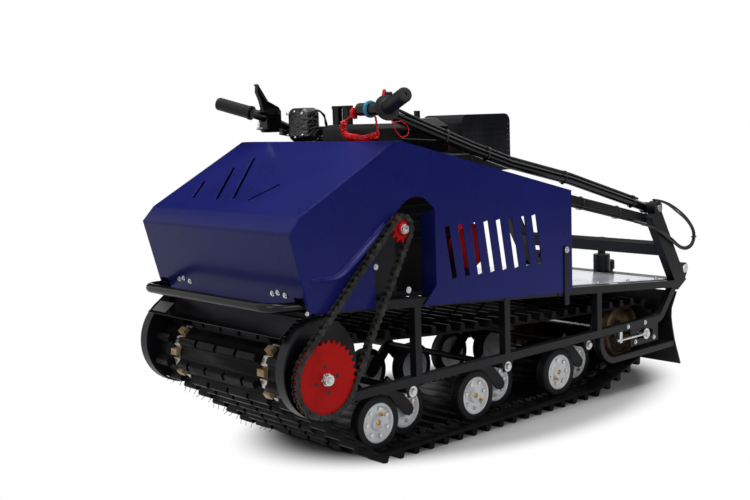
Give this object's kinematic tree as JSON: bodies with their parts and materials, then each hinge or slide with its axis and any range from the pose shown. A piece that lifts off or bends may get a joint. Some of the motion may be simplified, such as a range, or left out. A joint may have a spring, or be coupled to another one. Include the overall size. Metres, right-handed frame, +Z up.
{
  "type": "tracked snow tug",
  "caption": "Tracked snow tug with a sheet-metal cowl, exposed side chain drive, roller bogies, cargo deck and a towing boom that folds over its top.",
  "frame": {"origin": "on the ground, below the middle of the whole machine", "axes": "+X forward, +Y to the machine's left, where the chain drive is, +Z up"},
  "size_m": [1.5607, 0.7234, 0.892],
  "materials": {
    "air_filter": "gloss",
    "bearing_plates": "satin",
    "big_sprocket": "gloss",
    "bogie_arms": "satin",
    "bogie_brackets": "satin",
    "bogie_shafts": "satin",
    "boom_arms": "satin",
    "boom_cables": "matt",
    "boom_cross_bar": "satin",
    "bumper": "satin",
    "cable_loop": "matt",
    "chain_panel": "gloss",
    "control_box": "satin",
    "countershaft": "satin",
    "countershaft_carrier": "satin",
    "cross_members": "satin",
    "deck_plate": "gloss",
    "drive_axle": "satin",
    "drive_chain": "oiled",
    "drive_wheels": "satin",
    "engine_bed": "satin",
    "engine_block": "cast",
    "engine_cover": "satin",
    "exhaust_pipe": "satin",
    "fan_housing": "gloss",
    "grips": "matt",
    "guard_loops": "satin",
    "hinge_pins": "satin",
    "hitch_post": "satin",
    "hood": "gloss",
    "hood_straps": "matt",
    "idler_axle": "satin",
    "idler_wheels": "satin",
    "lanyard": "gloss",
    "mud_flap": "matt",
    "muffler": "satin",
    "panel_spacers": "satin",
    "roller_discs": "satin",
    "roller_stubs": "satin",
    "roller_tyres": "matt",
    "side_frame_left": "satin",
    "side_frame_right": "satin",
    "side_panel_left": "gloss",
    "side_panel_right": "gloss",
    "small_sprocket": "gloss",
    "sockets": "satin",
    "splash_plate": "satin",
    "stay_cables": "matt",
    "stay_tubes": "satin",
    "stop_switch": "satin",
    "switch_ring": "gloss",
    "tail_beam": "satin",
    "tail_cross_tube": "satin",
    "tension_plates": "satin",
    "tension_screws": "satin",
    "throttle": "satin",
    "track": "matt"
  },
  "bodies": {
    "chassis": {"air_filter": "air_filter", "bearing_plates": "bearing_plates", "big_sprocket": "big_sprocket", "bogie_arms": "bogie_arms", "bogie_brackets": "bogie_brackets", "bogie_shafts": "bogie_shafts", "bumper": "bumper", "cable_loop": "cable_loop", "chain_panel": "chain_panel", "countershaft": "countershaft", "countershaft_carrier": "countershaft_carrier", "cross_members": "cross_members", "deck_plate": "deck_plate", "drive_axle": "drive_axle", "drive_chain": "drive_chain", "drive_wheels": "drive_wheels", "engine_bed": "engine_bed", "engine_block": "engine_block", "engine_cover": "engine_cover", "exhaust_pipe": "exhaust_pipe", "fan_housing": "fan_housing", "guard_loops": "guard_loops", "hinge_pins": "hinge_pins", "hitch_post": "hitch_post", "hood": "hood", "hood_straps": "hood_straps", "idler_axle": "idler_axle", "idler_wheels": "idler_wheels", "mud_flap": "mud_flap", "muffler": "muffler", "panel_spacers": "panel_spacers", "roller_discs": "roller_discs", "roller_stubs": "roller_stubs", "roller_tyres": "roller_tyres", "side_frame_left": "side_frame_left", "side_frame_right": "side_frame_right", "side_panel_left": "side_panel_left", "side_panel_right": "side_panel_right", "small_sprocket": "small_sprocket", "splash_plate": "splash_plate", "stay_cables": "stay_cables", "stay_tubes": "stay_tubes", "tail_beam": "tail_beam", "tail_cross_tube": "tail_cross_tube", "tension_plates": "tension_plates", "tension_screws": "tension_screws", "track": "track"},
    "boom": {"boom_arms": "boom_arms", "boom_cables": "boom_cables", "boom_cross_bar": "boom_cross_bar", "control_box": "control_box", "grips": "grips", "lanyard": "lanyard", "sockets": "sockets", "stop_switch": "stop_switch", "switch_ring": "switch_ring", "throttle": "throttle"}
  },
  "joints": [
    {"name": "boom_hinge", "type": "hinge", "parent": "chassis", "child": "boom", "pos_m": [-0.61223, 0, 0.512], "axis": [0, -1, 0], "range_deg": [0, 145]}
  ]
}
